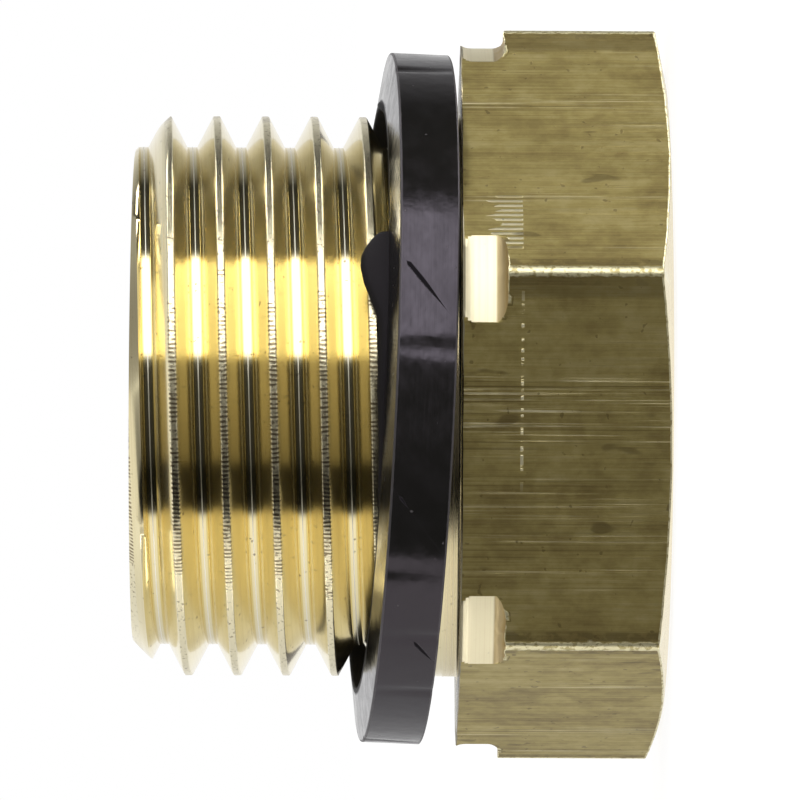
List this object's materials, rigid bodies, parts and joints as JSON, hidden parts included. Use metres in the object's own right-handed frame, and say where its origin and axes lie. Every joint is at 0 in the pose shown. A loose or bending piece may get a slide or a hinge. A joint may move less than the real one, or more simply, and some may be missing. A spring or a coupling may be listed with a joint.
{
  "type": "threaded reducer",
  "caption": "Brass threaded reducer: hexagon head with a tapped port, male pipe thread with a chamfered lead, and a loose black sealing ring on the neck between them.",
  "frame": {"origin": "centre of the hexagon end face, on the axis of the fitting", "axes": "+Z along the axis, from the hexagon end towards the male thread; hexagon corners on +X and -X, flats facing +Y and -Y; the part stands on its hexagon end"},
  "size_m": [0.0276, 0.0258, 0.0196],
  "materials": {
    "brass": "drawn bar with a dull olive tarnish on the flats, bright turned faces and thread",
    "ring_plastic": "satin black, lightly scuffed"
  },
  "bodies": {
    "root": {"reducer_body": "brass", "sealing_ring": "ring_plastic"}
  },
  "joints": []
}
